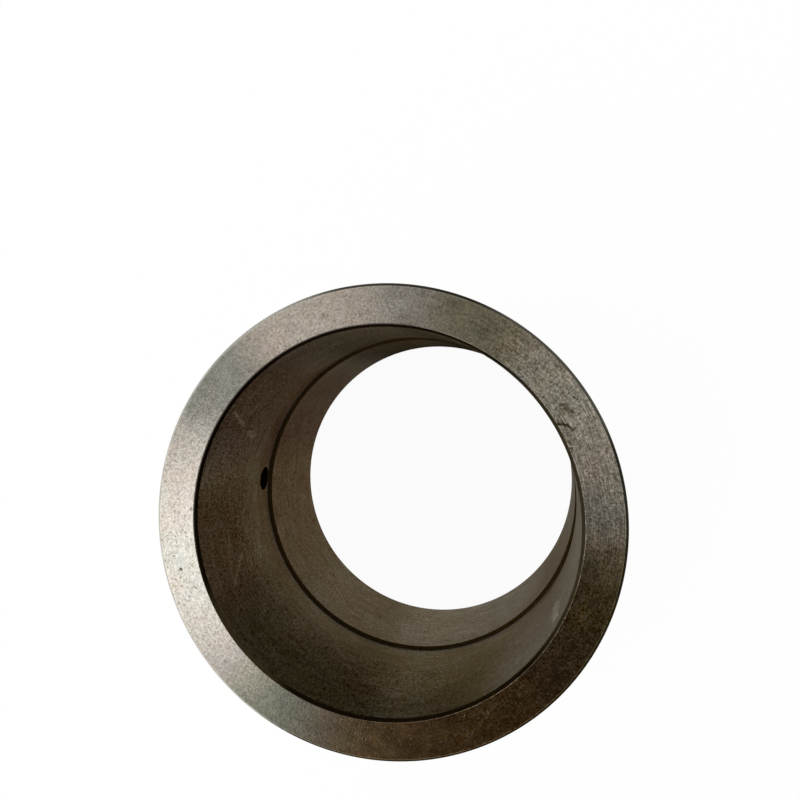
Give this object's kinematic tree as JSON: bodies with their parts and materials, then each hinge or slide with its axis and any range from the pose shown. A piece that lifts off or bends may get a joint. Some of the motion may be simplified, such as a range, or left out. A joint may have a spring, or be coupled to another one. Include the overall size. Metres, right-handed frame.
{
  "type": "bushing",
  "caption": "Plain cylindrical steel bushing: a turned sleeve whose bore has a shallow ring-shaped oil groove round its middle, fed by a radial oil hole.",
  "frame": {"origin": "centre of the bottom end face, on the axis of the bore", "axes": "+Z along the axis of the bore, from the bottom end face to the top one; -Y along the oil hole, outwards"},
  "size_m": [0.08, 0.08, 0.07],
  "materials": {
    "steel": "satin ground and turned steel with a brownish grey tone"
  },
  "bodies": {
    "root": {"bushing": "steel"}
  },
  "joints": []
}
